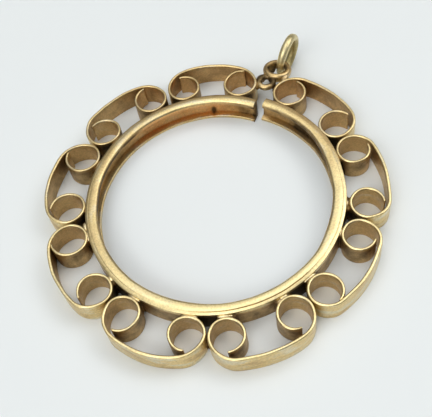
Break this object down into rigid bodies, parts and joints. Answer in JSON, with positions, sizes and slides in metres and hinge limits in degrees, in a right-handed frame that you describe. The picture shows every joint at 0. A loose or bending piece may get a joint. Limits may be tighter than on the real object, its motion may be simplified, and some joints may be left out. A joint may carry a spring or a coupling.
{
  "type": "empty coin mount pendant",
  "caption": "Round split-bezel coin mount with a border of soldered scrolls, a suspension loop and a free bail ring, lying empty on its back.",
  "frame": {"origin": "on the coin's axis, in the plane of the back that the mount lies on", "axes": "+Z out of the front face, along the coin's axis; +Y from the coin's axis towards the suspension loop and the bail ring; +X to the right seen from the front"},
  "size_m": [0.0307, 0.0354, 0.0042],
  "materials": {
    "mount_gold": "worn satin 9 ct yellow gold, brown with tarnish in the corners",
    "bail_gold": "polished pale 9 ct yellow gold wire"
  },
  "bodies": {
    "root": {"scroll_mount": "mount_gold", "bail_ring": "bail_gold"}
  },
  "joints": []
}
